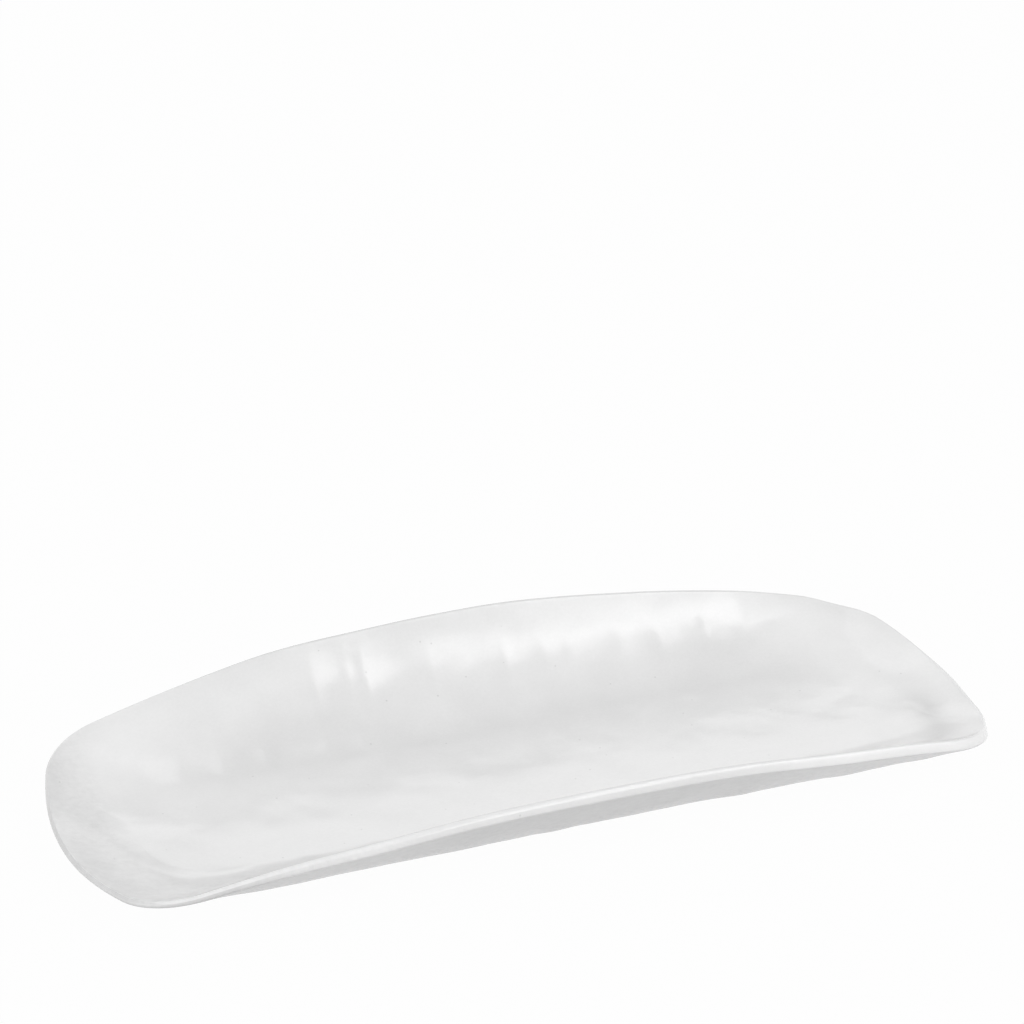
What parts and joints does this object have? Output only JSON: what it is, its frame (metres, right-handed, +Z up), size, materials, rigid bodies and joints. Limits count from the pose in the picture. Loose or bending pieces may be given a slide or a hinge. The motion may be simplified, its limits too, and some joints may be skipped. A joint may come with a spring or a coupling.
{
  "type": "asparagus plate",
  "caption": "Long shallow white glazed stoneware serving plate with swooping long sides, low ends and a bare clay foot ring, for asparagus.",
  "frame": {"origin": "middle of the plate's bounding box, at the height of the table it stands on", "axes": "+X along the plate to its right-hand end, +Z up, -Y towards the diner"},
  "size_m": [0.3646, 0.1602, 0.0378],
  "materials": {
    "white_glaze": "satin gloss glaze, white, on fired stoneware",
    "bare_clay": "bare fired clay, matt and slightly rough"
  },
  "bodies": {
    "root": {"plate_body": "white_glaze", "foot_ring": "bare_clay"}
  },
  "joints": []
}
